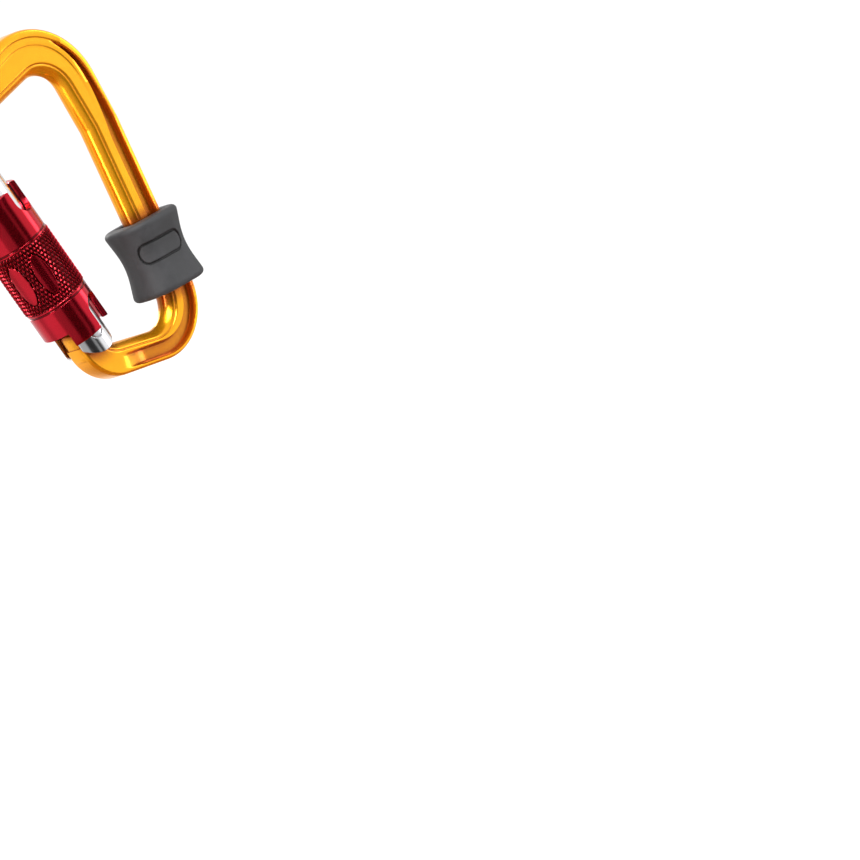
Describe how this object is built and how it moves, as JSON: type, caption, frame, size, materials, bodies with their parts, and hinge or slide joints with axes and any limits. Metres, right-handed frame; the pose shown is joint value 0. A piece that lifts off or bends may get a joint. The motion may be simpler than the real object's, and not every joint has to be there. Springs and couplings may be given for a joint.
{
  "type": "locking carabiner",
  "caption": "Asymmetric D-shaped locking carabiner: H-section body, sprung gate, twist-lock sleeve and a rubber keeper sliding on the spine.",
  "frame": {"origin": "centre of the bounding box", "axes": "+Z along the straight spine towards the wide nose end, +X from the gate to the spine, +Y through the thickness"},
  "size_m": [0.065, 0.0184, 0.096],
  "materials": {
    "gold_aluminium": "satin gold anodising",
    "polished_aluminium": "polished",
    "red_aluminium": "deep red anodising, knurled band",
    "rivet_steel": "machined",
    "spring_steel": "drawn wire",
    "black_plastic": "moulded",
    "dark_rubber": "moulded, matt"
  },
  "bodies": {
    "frame": {"frame_body": "gold_aluminium"},
    "gate_assembly": {"gate": "polished_aluminium", "hinge_pin": "rivet_steel", "gate_spring": "spring_steel", "lower_bush": "black_plastic", "retaining_ring": "spring_steel", "guide_pin": "rivet_steel", "sleeve_spring": "spring_steel"},
    "plunger": {"gate_plunger": "rivet_steel"},
    "sleeve": {"locking_sleeve": "red_aluminium", "guide_bush": "black_plastic"},
    "keeper": {"rope_keeper": "dark_rubber"}
  },
  "joints": [
    {"name": "gate_hinge", "type": "hinge", "parent": "frame", "child": "gate_assembly", "pos_m": [-0.01298, 0, -0.03065], "axis": [0, 1, 0], "range_deg": [0, 25], "stiffness_Nm_per_rad": 0.4, "springref_deg": -20.05},
    {"name": "sleeve_twist", "type": "hinge", "parent": "gate_assembly", "child": "sleeve", "pos_m": [-0.01298, 0, -0.03065], "axis": [0.2215, 0, -0.9751], "range_deg": [0, 90], "stiffness_Nm_per_rad": 0.03, "springref_deg": -34.38},
    {"name": "plunger_slide", "type": "slide", "parent": "gate_assembly", "child": "plunger", "axis": [-0.2215, 0, 0.9751], "range_m": [0, 0.00088], "deforming": ["gate_spring"]},
    {"name": "keeper_slide", "type": "slide", "parent": "frame", "child": "keeper", "axis": [0, 0, 1], "range_m": [0, 0.02]}
  ],
  "couplings": [
    {"joint": "plunger_slide", "follows": "gate_hinge", "m_per_rad": 0.001986}
  ]
}
